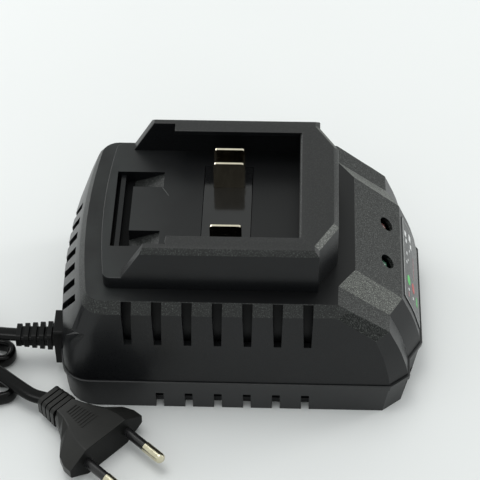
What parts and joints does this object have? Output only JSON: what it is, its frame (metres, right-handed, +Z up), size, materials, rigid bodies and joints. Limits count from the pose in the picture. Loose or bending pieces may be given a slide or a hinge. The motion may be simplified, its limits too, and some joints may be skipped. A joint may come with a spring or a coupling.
{
  "type": "power tool battery charger",
  "caption": "Desktop charger for slide-on power tool battery packs, with an open rail bay, blade contacts, two status lights and a flat mains lead with a two-pin plug.",
  "frame": {"origin": "centre of the casing's foot on the table, without the lead", "axes": "+X towards the nose with the lights, +Y to the far side, +Z up"},
  "size_m": [0.2841, 0.1353, 0.072],
  "materials": {
    "casing_plastic": "satin with fine moulded grain",
    "screw_steel": "zinc plated",
    "plate_silver": "bare silver film",
    "label_film": "glossy film with plain marks",
    "block_plastic": "glossy",
    "contact_metal": "plated",
    "red_lens": "clear tinted",
    "green_lens": "clear tinted",
    "board_green": "solder mask",
    "red_insulation": "soft gloss",
    "blue_insulation": "soft gloss",
    "soft_black": "satin",
    "lead_black": "gloss",
    "tie_black": "gloss",
    "plug_plastic": "satin",
    "pin_metal": "nickel plated brass",
    "sleeve_black": "gloss",
    "fuse_glass": "clear with metal caps",
    "blue_coat": "epoxy",
    "capacitor_yellow": "moulded box",
    "copper_winding": "enamelled wire",
    "chip_black": "moulded",
    "capacitor_sleeve": "shrink sleeve",
    "heat_sink_metal": "extruded",
    "ferrite": "sintered",
    "bobbin_plastic": "moulded",
    "winding_tape": "tape"
  },
  "bodies": {
    "root": {"lower_shell": "casing_plastic", "upper_shell": "casing_plastic", "housing_screws": "screw_steel", "rating_plate": "plate_silver", "front_label": "label_film", "terminal_block": "block_plastic", "contact_blade_a": "contact_metal", "contact_blade_b": "contact_metal", "contact_blade_c": "contact_metal", "red_light": "red_lens", "green_light": "green_lens", "light_board": "board_green", "light_leads": "red_insulation", "strain_relief": "soft_black", "power_lead_start": "lead_black", "power_lead_hank": "lead_black", "lead_tie": "tie_black", "power_lead_end": "lead_black", "plug_body": "plug_plastic", "plug_pins": "pin_metal", "plug_sleeves": "sleeve_black", "mains_leads": "blue_insulation", "output_leads": "red_insulation", "main_board": "board_green", "board_screws": "screw_steel", "fuse": "fuse_glass", "varistor": "blue_coat", "filter_capacitor": "capacitor_yellow", "filter_choke": "copper_winding", "bridge_rectifier": "chip_black", "bulk_capacitor": "capacitor_sleeve", "switch_heat_sink": "heat_sink_metal", "switch_transistor": "chip_black", "transformer_core": "ferrite", "transformer_bobbin": "bobbin_plastic", "transformer_winding": "winding_tape", "diode_heat_sink": "heat_sink_metal", "output_diode": "chip_black", "output_capacitors": "capacitor_sleeve", "optocoupler": "chip_black", "control_chip": "chip_black", "safety_capacitor": "blue_coat"}
  },
  "joints": []
}
